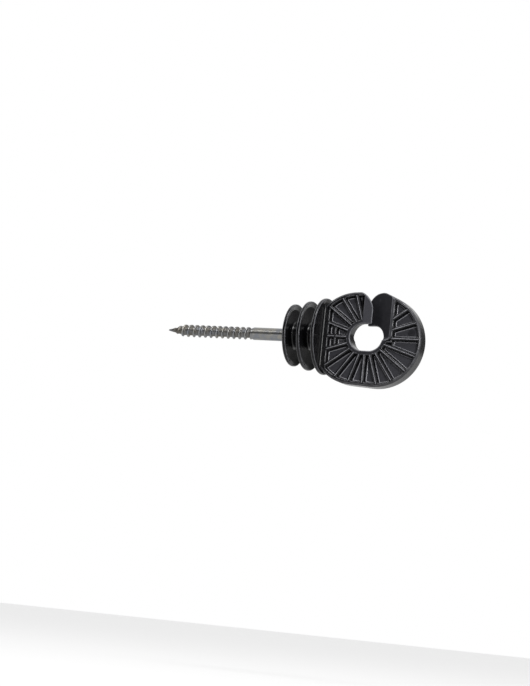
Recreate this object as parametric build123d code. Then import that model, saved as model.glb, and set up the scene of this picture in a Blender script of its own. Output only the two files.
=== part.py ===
"""Screw-in ring insulator for electric fence rope.

One black polymer moulding carries three dished fins and a flat, ribbed head with
the rope eye. A slanted slot in the top of the head lets the rope into the eye. A
steel support with a wood thread is moulded into the core of the fins.

Frame, in millimetres: the origin lies on the support's axis, where the thread ends
and the post's face stands. +X runs along the support towards the eye, Y is the
axis of the eye, and +Z points up through the slot.
"""
import math
import os

from build123d import *

# ---- steel support: wood thread, smooth shank, knurled end inside the moulding
SHANK_DIAMETER = 6.0
EXPOSED_SHANK = 16.7
EMBEDDED_LENGTH = 18.0
EMBEDDED_DIAMETER = 5.6
THREAD_LENGTH = 45.0
THREAD_PITCH = 3.0
THREAD_ROOT_DIAMETER = 4.3
THREAD_BASE_WIDTH = 1.8
THREAD_CREST_WIDTH = 0.4
THREAD_RUNOUT = 2.0
THREAD_FADE = 4.0
POINT_LENGTH = 8.0
POINT_TIP_DIAMETER = 0.6
KNURL_LENGTH = 10.0
KNURL_END_GAP = 2.0
KNURL_GROOVES = 12
KNURL_GROOVE_DEPTH = 0.5
END_CHAMFER = 0.6

# ---- fins: discs that grow towards the head, dished on the head's side
FIN_COUNT = 3
FIN_PITCH = 7.7
FIRST_FIN_RADIUS = 14.7
FIN_RADIUS_STEP = 1.65
FIN_RIM_WIDTH = 1.8
FIN_RIM_ROUNDING = 0.55
FIN_DISH_DEPTH = 1.2
FIN_DISH_RIM = 2.6
FIN_BACK_SLOPE = 2.4
CORE_RADIUS = 5.6
VALLEY_ROUNDING = 1.4
COLLAR_RADIUS = 6.2
COLLAR_LENGTH = 1.0

# ---- head: a plate round the oval rope eye, with two round ends of its own
FIN_TO_EYE = 21.4
HEAD_THICKNESS = 8.0
HEAD_END_RADIUS = 21.8
NEAR_END_X = -5.4
NEAR_END_Z = -0.6
FAR_END_X = 5.1
FAR_END_Z = -1.3
FAR_LOBE_RADIUS = 8.0
FAR_LOBE_X = 4.9
FAR_LOBE_Z = 13.9
HEAD_EDGE_ROUNDING = 1.0
EYE_END_RADIUS = 6.3
EYE_END_SPACING = 3.2
EYE_EDGE_ROUNDING = 0.5

# ---- rope slot: a slanted channel from the top of the head down past the eye's centre
SLOT_NEAR_EDGE = 2.7
SLOT_FAR_EDGE = 11.8
SLOT_DEPTH_BELOW_EYE = 1.0
NEAR_LOBE_RADIUS = 12.0
NEAR_LOBE_X = -9.3
NEAR_LOBE_Z = 10.6

# ---- pockets between the radial ribs, in both faces of the head
RIBS_PER_TURN = 20
RIB_WIDTH = 1.3
POCKET_DEPTH = 2.6
POCKET_DRAFT = 12.0
POCKET_CORNER = 0.7
EYE_RING_WIDTH = 2.0
RIM_BORDER = 1.7
RIM_SHIFT = 0.5
FIN_BORDER = 2.8
SLOT_BORDER = 1.0
LOBE_BORDER = 5.2
LOBE_WALL = 1.2
CROSS_WALL_FROM_FIN = 6.3
CROSS_WALL_WIDTH = 1.0
CROSS_WALL_HALF_HEIGHT = 5.0

# ---- modelling allowances
CUT_MARGIN = 5.0
HEAD_SEAT = 0.3
THREAD_SINK = 0.15
MIN_POCKET_CORE = 0.3
TOUCH = 0.01

# ---- worked out from the sizes above
SHANK_RADIUS = SHANK_DIAMETER / 2
EMBEDDED_RADIUS = EMBEDDED_DIAMETER / 2
ROOT_RADIUS = THREAD_ROOT_DIAMETER / 2
THREAD_START = POINT_LENGTH - THREAD_LENGTH
FIRST_FIN_X = EXPOSED_SHANK + COLLAR_LENGTH + FIN_BACK_SLOPE + FIN_RIM_WIDTH / 2
LAST_FIN_X = FIRST_FIN_X + (FIN_COUNT - 1) * FIN_PITCH
DISH_FLOOR_X = LAST_FIN_X + FIN_RIM_WIDTH / 2 - FIN_DISH_DEPTH
EYE_X = LAST_FIN_X + FIN_TO_EYE
FACE_Y = HEAD_THICKNESS / 2
HEAD_TOP = HEAD_END_RADIUS + CUT_MARGIN
HEAD_LENGTH = FIN_TO_EYE + FAR_END_X + HEAD_END_RADIUS
RIB_STEP = 360 / RIBS_PER_TURN
SLOT_RUN = SLOT_FAR_EDGE + SLOT_NEAR_EDGE
SLOT_ANGLE = math.degrees(math.atan2(HEAD_THICKNESS, SLOT_RUN))
SLOT_GAP = (SLOT_FAR_EDGE - SLOT_NEAR_EDGE) * math.sin(math.radians(SLOT_ANGLE))
SLOT_FLOOR = SLOT_GAP / 2 - SLOT_DEPTH_BELOW_EYE


# ---- steel support
def turned(points):
    """A closed profile of (x, radius) points turned about the support's axis."""
    face = make_face(Polyline(*points, close=True).edges())
    return revolve(face, Axis.X, 360)


def support_core():
    """Point, thread root, shank and slimmer embedded end as one turned profile."""
    end = EXPOSED_SHANK + EMBEDDED_LENGTH
    points = [
        (-THREAD_LENGTH, 0),
        (-THREAD_LENGTH, POINT_TIP_DIAMETER / 2),
        (THREAD_START, ROOT_RADIUS),
        (-THREAD_RUNOUT, ROOT_RADIUS),
        (0, SHANK_RADIUS),
        (EXPOSED_SHANK, SHANK_RADIUS),
        (EXPOSED_SHANK, EMBEDDED_RADIUS),
        (end - END_CHAMFER, EMBEDDED_RADIUS),
        (end, EMBEDDED_RADIUS - END_CHAMFER),
        (end, 0),
    ]
    return turned(points)


def thread():
    """Helical ridge of the wood thread, from the point to the shank."""
    start = THREAD_START + THREAD_BASE_WIDTH / 2
    foot = ROOT_RADIUS - THREAD_SINK
    rise = SHANK_RADIUS - foot
    path = Helix(
        pitch=THREAD_PITCH,
        height=-THREAD_RUNOUT - start,
        radius=foot,
        center=(start, 0, 0),
        direction=(1, 0, 0),
    )
    section = Polyline(
        (0, -THREAD_BASE_WIDTH / 2),
        (rise, -THREAD_CREST_WIDTH / 2),
        (rise, THREAD_CREST_WIDTH / 2),
        (0, THREAD_BASE_WIDTH / 2),
        close=True,
    )
    outward = (path @ 0) - Vector(start, 0, 0)
    plane = Plane(origin=path @ 0, x_dir=outward, z_dir=path % 0)
    return sweep(plane * make_face(section.edges()), path=path, is_frenet=True)


def thread_envelope():
    """Space that the thread may fill: it fades in behind the point."""
    clear = SHANK_RADIUS + THREAD_SINK
    points = [
        (THREAD_START, 0),
        (THREAD_START, ROOT_RADIUS),
        (THREAD_START + THREAD_FADE, clear),
        (0, clear),
        (0, 0),
    ]
    return turned(points)


def knurl_grooves():
    """V grooves along the embedded end, which key it in the moulding."""
    centre_x = EXPOSED_SHANK + EMBEDDED_LENGTH - KNURL_END_GAP - KNURL_LENGTH / 2
    side = KNURL_GROOVE_DEPTH * math.sqrt(2)
    groove = Pos(centre_x, 0, EMBEDDED_RADIUS) * Rot(45, 0, 0) * Box(KNURL_LENGTH, side, side)
    return [Rot(360 / KNURL_GROOVES * i, 0, 0) * groove for i in range(KNURL_GROOVES)]


def screw_support():
    """The whole steel support."""
    solid = support_core() + (thread() & thread_envelope())
    for groove in knurl_grooves():
        solid -= groove
    return solid


# ---- moulding: fins
def fin_radius(index):
    """Rim radius of one fin, counted from the post."""
    return FIRST_FIN_RADIUS + index * FIN_RADIUS_STEP


def fin_profile():
    """Profile of collar, core and fins, from the post's side to the head."""
    points = [
        (EXPOSED_SHANK, 0),
        (EXPOSED_SHANK, COLLAR_RADIUS),
        (EXPOSED_SHANK + COLLAR_LENGTH, COLLAR_RADIUS),
    ]
    for index in range(FIN_COUNT):
        centre = FIRST_FIN_X + index * FIN_PITCH
        back = centre - FIN_RIM_WIDTH / 2
        front = centre + FIN_RIM_WIDTH / 2
        rim = fin_radius(index)
        if index > 0:
            points.append((back - FIN_BACK_SLOPE, CORE_RADIUS))
        points.append((back, rim))
        points.append((front, rim))
        points.append((front - FIN_DISH_DEPTH, rim - FIN_DISH_RIM))
        if index < FIN_COUNT - 1:
            points.append((front - FIN_DISH_DEPTH, CORE_RADIUS))
    points.append((DISH_FLOOR_X, 0))
    return points


def is_rim_corner(vertex):
    """True for the two outer corners of a fin in the profile."""
    return any(abs(vertex.Y - fin_radius(i)) < TOUCH for i in range(FIN_COUNT))


def is_core_corner(vertex):
    """True where a fin rises from the core in the profile."""
    return abs(vertex.Y - CORE_RADIUS) < TOUCH


def fin_body():
    """Fins on their core, with rounded rims and valleys."""
    face = make_face(Polyline(*fin_profile(), close=True).edges())
    face = fillet([v for v in face.vertices() if is_rim_corner(v)], FIN_RIM_ROUNDING)
    face = fillet([v for v in face.vertices() if is_core_corner(v)], VALLEY_ROUNDING)
    return revolve(face, Axis.X, 360)


# ---- moulding: head, drawn in the eye's own (x, z) plane
def block(left, right, bottom, top):
    """Upright rectangle given by its four sides."""
    centre = Pos((left + right) / 2, (bottom + top) / 2)
    return centre * Rectangle(right - left, top - bottom)


def head_outline(inset):
    """Outline drawn round two end circles and the far lobe, cut off at the last fin."""
    circles = [
        Pos(NEAR_END_X, NEAR_END_Z) * Circle(HEAD_END_RADIUS - inset),
        Pos(FAR_END_X, FAR_END_Z) * Circle(HEAD_END_RADIUS - inset),
        Pos(FAR_LOBE_X, FAR_LOBE_Z) * Circle(FAR_LOBE_RADIUS - inset),
    ]
    plate = make_hull([circle.edge() for circle in circles])
    seat = DISH_FLOOR_X - EYE_X - HEAD_SEAT
    return plate - block(-2 * HEAD_LENGTH, seat, -HEAD_TOP, HEAD_TOP)


def eye_outline(grown):
    """Oval of the rope eye, grown by a ring."""
    return SlotCenterToCenter(EYE_END_SPACING, 2 * (EYE_END_RADIUS + grown))


def on_head(sketch, depth):
    """Extrudes a sketch from the middle of the head to both of its sides."""
    plane = Plane(origin=(EYE_X, 0, 0), x_dir=(1, 0, 0), z_dir=(0, -1, 0))
    return extrude(plane * sketch, amount=depth, both=True)


def is_outer_edge(edge):
    """True for the outline's edges on the two faces, not for its cut-off end."""
    start, middle = edge @ 0, edge @ 0.5
    on_face = abs(abs(middle.Y) - FACE_Y) < TOUCH and abs(start.Y - middle.Y) < TOUCH
    return on_face and middle.X > DISH_FLOOR_X - HEAD_SEAT + TOUCH


def is_eye_edge(edge):
    """True for the two mouths of the eye."""
    middle = edge @ 0.5
    on_face = abs(abs(middle.Y) - FACE_Y) < TOUCH
    return on_face and math.hypot(middle.X - EYE_X, middle.Z) < EYE_END_RADIUS + EYE_END_SPACING


def head_plate():
    """Plate with rounded outer edges and a rounded eye."""
    plate = on_head(head_outline(0), FACE_Y)
    plate = fillet([e for e in plate.edges() if is_outer_edge(e)], HEAD_EDGE_ROUNDING)
    plate -= on_head(eye_outline(0), HEAD_THICKNESS)
    return fillet([e for e in plate.edges() if is_eye_edge(e)], EYE_EDGE_ROUNDING)


# ---- moulding: slanted rope slot
def slot_plane():
    """Plane across the slot, with its first axis towards the lobe far from the post."""
    slant = math.radians(SLOT_ANGLE)
    across = (math.sin(slant), math.cos(slant), 0)
    along = (math.cos(slant), -math.sin(slant), 0)
    return Plane(origin=(EYE_X, 0, 0), x_dir=across, z_dir=along)


def slot_section(wall):
    """Section of the slot with its round floor, grown by a wall."""
    half = SLOT_GAP / 2 + wall
    return block(-half, half, SLOT_FLOOR, HEAD_TOP) + Pos(0, SLOT_FLOOR) * Circle(half)


def along_slot(section):
    """Extrudes a section along the slot, out past both sides of the head."""
    return extrude(slot_plane() * section, amount=HEAD_LENGTH, both=True)


def lobe_side(side):
    """Space on one side of the slot's middle: -1 holds the lobe near the post, 1 the other."""
    edges = sorted((0, side * HEAD_LENGTH))
    return along_slot(block(*edges, -HEAD_TOP, HEAD_TOP))


def lobe_cutter(side, x, z, radius):
    """What lies beside the round top corner of one lobe."""
    corner = block(*sorted((x, -side * HEAD_LENGTH)), z, HEAD_TOP) - Pos(x, z) * Circle(radius)
    return on_head(corner, HEAD_THICKNESS) & lobe_side(side)


def lobe_guard(side):
    """Keeps a wall between one face's pockets and the slot behind their lobe."""
    return along_slot(slot_section(LOBE_WALL)) & lobe_side(side)


# ---- moulding: pockets between the ribs
def wedge(start, inset):
    """Space between two neighbouring ribs, out past the head."""
    middle = math.radians(start + RIB_STEP / 2)
    half_step = math.radians(RIB_STEP / 2)
    apex = (RIB_WIDTH / 2 + inset) / math.sin(half_step)
    corners = [(apex * math.cos(middle), apex * math.sin(middle))]
    for angle in (middle - half_step, middle + half_step):
        out_x = corners[0][0] + HEAD_LENGTH * math.cos(angle)
        out_y = corners[0][1] + HEAD_LENGTH * math.sin(angle)
        corners.append((out_x, out_y))
    return make_face(Polyline(*corners, close=True).edges())


def slot_border(side, inset):
    """Area beside the slot that one face's pockets keep clear of."""
    near = SLOT_NEAR_EDGE - LOBE_BORDER - inset
    far = SLOT_FAR_EDGE + SLOT_BORDER + inset
    bottom = -SLOT_DEPTH_BELOW_EYE - SLOT_BORDER - inset
    return block(*sorted((-side * near, -side * far)), bottom, HEAD_TOP)


def pocket_field(side, inset):
    """Area of one face that its pockets may fill, drawn in by the inset."""
    ring = eye_outline(EYE_RING_WIDTH + inset)
    fin_side = DISH_FLOOR_X - EYE_X
    fin_edge = fin_side + FIN_BORDER + inset
    wall = fin_side + CROSS_WALL_FROM_FIN
    half_wall = CROSS_WALL_WIDTH / 2 + inset
    inner = Pos(RIM_SHIFT, 0) * head_outline(RIM_BORDER + inset)
    field = inner - ring - slot_border(side, inset)
    field -= block(-2 * HEAD_LENGTH, fin_edge, -HEAD_TOP, HEAD_TOP)
    half_height = CROSS_WALL_HALF_HEIGHT
    return field - block(wall - half_wall, wall + half_wall, -half_height, half_height)


def pocket_faces(side):
    """Every pocket of one face of the head, with rounded corners."""
    field = pocket_field(side, POCKET_CORNER)
    faces = []
    for index in range(RIBS_PER_TURN):
        for core in (field & wedge(index * RIB_STEP, POCKET_CORNER)).faces():
            if core.area > MIN_POCKET_CORE:
                faces += offset(core, POCKET_CORNER, kind=Kind.ARC).faces()
    return faces


def pockets(side):
    """Drafted pockets: side -1 is the face with the near lobe's nose, 1 the back."""
    plane = Plane(origin=(EYE_X, side * FACE_Y, 0), x_dir=(1, 0, 0), z_dir=(0, -1, 0))
    depth = side * POCKET_DEPTH
    guard = lobe_guard(side)
    return [extrude(plane * face, amount=depth, taper=POCKET_DRAFT) - guard
            for face in pocket_faces(side)]


def insulator_body(support):
    """The moulding, open where the support is moulded in."""
    head = head_plate() - along_slot(slot_section(0))
    head -= lobe_cutter(-1, NEAR_LOBE_X, NEAR_LOBE_Z, NEAR_LOBE_RADIUS)
    head -= lobe_cutter(1, FAR_LOBE_X, FAR_LOBE_Z, FAR_LOBE_RADIUS)
    for cut in pockets(-1) + pockets(1):
        head -= cut
    return fin_body() + head - support


def main():
    """Builds both pieces and writes them out."""
    os.makedirs("parts", exist_ok=True)
    support = screw_support()
    export_step(support, "parts/screw_support.step")
    export_step(insulator_body(support), "parts/insulator_body.step")
    print(f"eye at x {EYE_X:.2f}, slot gap {SLOT_GAP:.2f} at {SLOT_ANGLE:.1f} degrees")


main()
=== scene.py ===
# %% [markdown]
# # A screw-in ring insulator for electric fence rope
# The real thing has two pieces. One is a black injection moulding: three round
# fins that shed rain, then a flat ribbed head with an eye for the rope and a
# slanted slot that lets the rope in. The other is a zinc-plated steel support,
# which is screwed into a wooden post and moulded into the core of the fins.
# The measured model is loaded first. All formulas work in millimetres and turn to metres at the
# end.

# %% Load the measured frame
import math

import bpy
import numpy as np
from mathutils import Matrix


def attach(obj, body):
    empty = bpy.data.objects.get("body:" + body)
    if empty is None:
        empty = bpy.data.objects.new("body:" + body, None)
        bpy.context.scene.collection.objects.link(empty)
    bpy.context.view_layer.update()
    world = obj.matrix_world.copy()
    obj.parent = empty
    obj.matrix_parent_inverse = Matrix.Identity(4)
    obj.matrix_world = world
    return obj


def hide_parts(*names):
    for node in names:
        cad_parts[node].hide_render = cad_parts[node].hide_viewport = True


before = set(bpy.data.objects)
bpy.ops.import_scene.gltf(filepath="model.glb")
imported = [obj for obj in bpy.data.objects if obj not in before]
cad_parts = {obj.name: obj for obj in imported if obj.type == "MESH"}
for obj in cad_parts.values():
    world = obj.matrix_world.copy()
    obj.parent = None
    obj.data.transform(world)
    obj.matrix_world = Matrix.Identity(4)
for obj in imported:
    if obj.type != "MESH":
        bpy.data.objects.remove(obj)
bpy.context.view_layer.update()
MM = 0.001

# %% [markdown]
# ## Sizes
# These are the sizes of the measured model, in millimetres. X runs along the
# support towards the eye, Y is the eye's axis and Z points up through the slot.

# %% Sizes of the moulding
FIN_CENTRES = (21.0, 28.7, 36.4)
FIN_RADII = (14.7, 16.35, 18.0)
RIM_WIDTH = 1.8
RIM_ROUNDING = 0.55
DISH_DEPTH = 1.2
DISH_LIP = 2.6
BACK_SLOPE = 2.4
CORE_RADIUS = 5.6
VALLEY_ROUNDING = 1.4
DISH_FILLET = 0.8
FLOOR_SINK = 0.25
SINK_RUN = 0.54
SINK_ROUNDING = 0.3
COLLAR_START = 16.7
COLLAR_LENGTH = 1.0
COLLAR_RADIUS = 6.2
COLLAR_ROUNDING = 0.4
COLLAR_FOOT = 0.3
GROOVE_DEPTH = 0.25
GROOVE_WIDTH = 0.6

EYE_X = 57.8
DISH_FLOOR_X = 36.1
HEAD_THICKNESS = 8.0
NEAR_END = (-5.4, -0.6, 21.8)
FAR_END = (5.1, -1.3, 21.8)
FAR_LOBE = (4.9, 13.9, 8.0)
NEAR_LOBE = (-9.3, 10.6, 12.0)
HEAD_EDGE = 1.0
EYE_RADIUS = 6.3
EYE_END_SPACING = 3.2
EYE_EDGE = 0.5

SLOT_NEAR = 2.7
SLOT_FAR = 11.8
SLOT_BELOW_EYE = 1.0
LOBE_EDGE = 0.35

RIBS = 20
RIB_WIDTH = 1.3
POCKET_DEPTH = 2.6
POCKET_DRAFT = math.radians(12)
POCKET_CORNER = 0.7
POCKET_FOOT = 0.5
POCKET_EDGE = 0.38
EYE_RING = 2.0
RIM_BORDER = 1.7
RIM_SHIFT = 0.5
FIN_BORDER = 2.8
SLOT_BORDER = 1.0
LOBE_BORDER = 5.2
LOBE_WALL = 1.2
CROSS_WALL = (-15.4, 1.0, 5.0)
SEAM_FILLET = 0.8
DISC_THICKNESS = 0.8
DISC_REACH = 0.3
FAR_REACH = 40.0

SLOT_SLANT = math.atan2(HEAD_THICKNESS, SLOT_NEAR + SLOT_FAR)
SLOT_HALF = (SLOT_FAR - SLOT_NEAR) * math.sin(SLOT_SLANT) / 2
SLOT_FLOOR = SLOT_HALF - SLOT_BELOW_EYE
print(f"slot {2 * SLOT_HALF:.2f} mm wide, slanted {math.degrees(SLOT_SLANT):.1f} degrees")

# %% Sizes of the support
SHANK_RADIUS = 3.0
SHANK_LENGTH = 16.7
INNER_RADIUS = 2.8
INNER_LENGTH = 18.0
THREAD_LENGTH = 45.0
ROOT_RADIUS = 2.15
PITCH = 3.0
RIDGE_FOOT = 1.8
RIDGE_CREST = 0.4
RUNOUT = 2.0
RIDGE_START = 0.6
RIDGE_RISE = 9.0
RIDGE_END = 0.2
RIDGE_FADE = 2.4
POINT_LENGTH = 8.0
TIP_RADIUS = 0.3
KNURLS = 12
KNURL_DEPTH = 0.5
KNURL_SPAN = (22.7, 32.7)
END_CHAMFER = 0.6

# %% [markdown]
# ## The camera
# The eye's face is seen a little from the right and from below. The view was
# worked out from the directions of the ribs and the outlines of fins and eye:
# turned 23 degrees, 8 degrees upwards, and rolled 6 degrees.

# %% Camera
VIEW_TURN, VIEW_RISE, VIEW_ROLL = (math.radians(a) for a in (22.97, -7.95, 5.94))
CAMERA_PLACE = (0.3735, -0.8672, -0.1358)
FOCAL_PIXELS, LONG_SIDE_PIXELS, SENSOR = 2000, 686, 36


def view_axes():
    """Rows: the camera's right, down and forward directions, as three turns in a row."""
    ca, sa = math.cos(VIEW_TURN), math.sin(VIEW_TURN)
    ce, se = math.cos(VIEW_RISE), math.sin(VIEW_RISE)
    cr, sr = math.cos(VIEW_ROLL), math.sin(VIEW_ROLL)
    turn = np.array([[ca, 0, sa], [0, 1, 0], [-sa, 0, ca]])
    rise = np.array([[1, 0, 0], [0, ce, -se], [0, se, ce]])
    roll = np.array([[cr, -sr, 0], [sr, cr, 0], [0, 0, 1]])
    to_view = np.array([[1, 0, 0], [0, 0, -1], [0, 1, 0]])
    return roll @ rise @ turn @ to_view


right, down, forward = view_axes()
lens = bpy.data.cameras.new("camera")
lens.lens = FOCAL_PIXELS / LONG_SIDE_PIXELS * SENSOR
lens.sensor_width = SENSOR
lens.clip_start = 0.01
camera = bpy.data.objects.new("camera", lens)
placed = np.eye(4)
placed[:3, :3] = np.stack([right, -down, -forward], axis=1)
placed[:3, 3] = CAMERA_PLACE
camera.matrix_world = Matrix(placed.tolist())
bpy.context.scene.collection.objects.link(camera)
bpy.context.scene.camera = camera
print(f"camera with a {lens.lens:.1f} mm lens")

# %% [markdown]
# ## Putting arrays into meshes
# Each surface is computed as whole arrays of points and faces. One helper puts
# them into a mesh object at the origin and makes its shading smooth.

# %% Mesh helper
def mesh_piece(name, points_mm, faces, normals=None):
    """A piece from points in millimetres, index faces and, if known, exact normals."""
    mesh = bpy.data.meshes.new(name)
    mesh.from_pydata((points_mm * MM).tolist(), [], faces.tolist())
    mesh.polygons.foreach_set("use_smooth", np.ones(len(mesh.polygons), bool))
    if normals is not None:
        mesh.normals_split_custom_set_from_vertices(normals.tolist())
    mesh.update()
    piece = bpy.data.objects.new(name, mesh)
    bpy.context.scene.collection.objects.link(piece)
    print(name, len(mesh.vertices), "points", len(mesh.polygons), "faces")
    return piece


# %% [markdown]
# ## Fins and core
# Rain runs off the three fins, so no wet path leads from rope to post. Each fin
# has a slanted back and a shallow dish on the head's side. This half of the
# moulding is round, so it is a lathe shape: a rounded profile of (x, radius)
# points is carried round the support's axis. Blender's Spin tool could turn a
# drawn profile too, but computed rings keep every radius exact. Corners in the
# profile are replaced by arcs, because moulded edges are never sharp and their
# roundings catch the light.

# %% Rounded profile
ARC_STEPS = 8


def rounded_corner(before, corner, after, radius):
    """Arc that touches both sides of a corner.

    It starts radius / tan(half the corner's angle) from the corner, and its
    centre lies on the corner's bisector at radius / sin(half the angle).
    """
    a = (before - corner) / np.linalg.norm(before - corner)
    b = (after - corner) / np.linalg.norm(after - corner)
    half = math.acos(np.clip(a @ b, -1, 1)) / 2
    bisector = (a + b) / np.linalg.norm(a + b)
    centre = corner + bisector * radius / math.sin(half)
    start = corner + a * radius / math.tan(half) - centre
    end = corner + b * radius / math.tan(half) - centre
    share = np.linspace(0, 1, ARC_STEPS + 1)[:, None]
    sweep = math.pi - 2 * half
    arc = (np.sin((1 - share) * sweep) * start + np.sin(share * sweep) * end)
    return centre + arc / math.sin(sweep)


def rounded_profile(corners):
    """Profile of (x, radius, rounding) corners, with an arc at each rounded one."""
    table = np.array(corners, float)
    parts = [table[:1, :2]]
    for i in range(1, len(table) - 1):
        rounding = table[i, 2]
        if rounding > 0:
            neighbours = table[i - 1, :2], table[i, :2], table[i + 1, :2]
            parts.append(rounded_corner(*neighbours, rounding))
        else:
            parts.append(table[i : i + 1, :2])
    parts.append(table[-1:, :2])
    return np.concatenate(parts)


one_corner = rounded_profile([(0, 0, 0), (1, 0, 0.5), (1, 1, 0)])
print("a square corner with a 0.5 mm rounding becomes", len(one_corner), "points")

# %% Fin profile
def fin_corners():
    """Corners of collar, core and fins from the post's side to the head.

    A shallow groove parts the collar from the steel. The last dish's floor is sunk
    under the disc that carries the head.
    """
    rows = [
        (COLLAR_START, 0, 0),
        (COLLAR_START, SHANK_RADIUS, 0),
        (COLLAR_START + GROOVE_DEPTH, SHANK_RADIUS + GROOVE_DEPTH, 0.1),
        (COLLAR_START, SHANK_RADIUS + GROOVE_WIDTH, 0.15),
        (COLLAR_START, COLLAR_RADIUS, COLLAR_ROUNDING),
        (COLLAR_START + COLLAR_LENGTH, COLLAR_RADIUS, COLLAR_FOOT),
    ]
    for index, (centre, rim) in enumerate(zip(FIN_CENTRES, FIN_RADII)):
        back, front = centre - RIM_WIDTH / 2, centre + RIM_WIDTH / 2
        if index > 0:
            rows.append((back - BACK_SLOPE, CORE_RADIUS, VALLEY_ROUNDING))
        rows.append((back, rim, RIM_ROUNDING))
        rows.append((front, rim, RIM_ROUNDING))
        rows.append((front - DISH_DEPTH, rim - DISH_LIP, DISH_FILLET))
        if index < len(FIN_CENTRES) - 1:
            rows.append((front - DISH_DEPTH, CORE_RADIUS, VALLEY_ROUNDING))
    sunk = DISH_FLOOR_X - FLOOR_SINK
    rows[-1] = (sunk, FIN_RADII[-1] - DISH_LIP - SINK_RUN, SINK_ROUNDING)
    rows.append((sunk, 0, 0))
    return rows


fin_profile = rounded_profile(fin_corners())
print(len(fin_profile), "profile points, widest", fin_profile[:, 1].max(), "mm")

# %% Lathe surface
TURN_STEPS = 256
LONGEST_RUN = 1.2


def split_long_runs(profile, longest):
    """Adds points so that no straight run of the profile is longer than asked."""
    steps = np.linalg.norm(np.diff(profile, axis=0), axis=1)
    along = np.concatenate([[0], np.cumsum(steps)])
    extra = np.arange(0, along[-1], longest)
    wanted = np.unique(np.concatenate([along, extra]))
    keep = np.concatenate([[True], np.diff(wanted) > 0.02])
    return np.stack([np.interp(wanted[keep], along, profile[:, k]) for k in (0, 1)], 1)


def grid_faces(rows, columns):
    """Quads of a grid whose last column joins its first."""
    at = np.arange(rows * columns).reshape(rows, columns)
    beside = np.roll(at, -1, axis=1)
    return np.stack([at[:-1], at[1:], beside[1:], beside[:-1]], -1).reshape(-1, 4)


def turned_surface(profile, steps):
    """Points (x, r sin t, r cos t) of a profile carried round X, with both ends closed.

    The first and last profile points lie on the axis, and each becomes one pole.
    """
    angle = np.arange(steps) / steps * 2 * np.pi
    x, radius = profile[1:-1, 0], profile[1:-1, 1]
    ring = np.stack([
        np.repeat(x, steps),
        np.outer(radius, np.sin(angle)).ravel(),
        np.outer(radius, np.cos(angle)).ravel(),
    ], 1)
    poles = np.array([[profile[0, 0], 0, 0], [profile[-1, 0], 0, 0]])
    return np.concatenate([ring, poles])


def close_poles(rows, columns):
    """Triangles from the first and last ring to their poles."""
    first, last = rows * columns, rows * columns + 1
    at = np.arange(columns)
    beside = np.roll(at, -1)
    end = (rows - 1) * columns
    cap_a = np.stack([np.full(columns, first), at, beside], 1)
    cap_b = np.stack([np.full(columns, last), end + beside, end + at], 1)
    return np.concatenate([cap_a, cap_b])


def lathe_faces(rows, columns):
    """All faces of a lathe shape, as lists, so that quads and triangles can mix."""
    quads = grid_faces(rows, columns).tolist()
    return np.array(quads + close_poles(rows, columns).tolist(), dtype=object)


fin_profile = split_long_runs(fin_profile, LONGEST_RUN)
fin_points = turned_surface(fin_profile, TURN_STEPS)
fins = mesh_piece("fins", fin_points, lathe_faces(len(fin_profile) - 2, TURN_STEPS))

# %% [markdown]
# ## The head as a distance field
# The head's ribs, pockets, eye and slot meet in hundreds of short edges, all of
# them slightly round on a moulded part. Rounding such edges on a built mesh
# breaks where three of them meet, so the head is described as a distance field:
# a function of (x, y, z) that is negative inside the plastic, zero on its skin
# and positive outside, about as large as the distance to the skin. Two solids
# are joined or cut with one formula that also rounds the edge between them.

# %% Joining fields with round edges
def round_overlap(radius, *fields):
    """Where all fields are inside, with that edge radius.

    min(the largest field, -radius) + the length of the vector of the fields'
    parts above -radius. Near an edge, that is the distance to a round bar.
    """
    above = sum(np.maximum(field + radius, 0) ** 2 for field in fields)
    return np.minimum(np.maximum.reduce(fields), -radius) + np.sqrt(above)


def round_union(radius, *fields):
    """Where any field is inside, with a fillet: the overlap of what is outside."""
    return -round_overlap(radius, *(-field for field in fields))


def box_distance(u, v, left, right, bottom, top):
    """Distance to an upright rectangle: how far (u, v) lies beyond its half sizes."""
    du = np.abs(u - (left + right) / 2) - (right - left) / 2
    dv = np.abs(v - (bottom + top) / 2) - (top - bottom) / 2
    outside = np.hypot(np.maximum(du, 0), np.maximum(dv, 0))
    return outside + np.minimum(np.maximum(du, dv), 0)


def belt_distance(u, v, first, second):
    """Distance to a belt laid round two circles, each given as (u, v, radius).

    Along and beside are measured on the line between the centres. The belt's
    straight runs lean by the difference of the radii over that line's length,
    and before and after them the nearer circle counts.
    """
    (u1, v1, r1), (u2, v2, r2) = first, second
    length = math.hypot(u2 - u1, v2 - v1)
    du, dv = (u2 - u1) / length, (v2 - v1) / length
    slope = (r1 - r2) / length
    level = math.sqrt(1 - slope * slope)
    along = (u - u1) * du + (v - v1) * dv
    beside = np.abs((v - v1) * du - (u - u1) * dv)
    place = along * level - beside * slope
    run = beside * level + along * slope - r1
    after = np.hypot(along - length, beside) - r2
    return np.where(place < 0, np.hypot(along, beside) - r1,
                    np.where(place > length * level, after, run))


def plate_distance(u, v):
    """Distance to the head's outline: three circles with a belt round each two of them."""
    return np.minimum.reduce([belt_distance(u, v, NEAR_END, FAR_END),
                              belt_distance(u, v, NEAR_END, FAR_LOBE),
                              belt_distance(u, v, FAR_END, FAR_LOBE)])


def eye_distance(u, v):
    """Distance to the oval eye, negative in the hole: from a level line, less a radius."""
    return np.hypot(np.maximum(np.abs(u) - EYE_END_SPACING / 2, 0), v) - EYE_RADIUS


print("a sharp corner lies", round(float(round_overlap(1.0, 0.0, 0.0)), 3),
      "mm outside its 1 mm rounding")
print("the eye is", EYE_END_SPACING + 2 * EYE_RADIUS, "mm wide and", 2 * EYE_RADIUS, "mm high")

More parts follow.
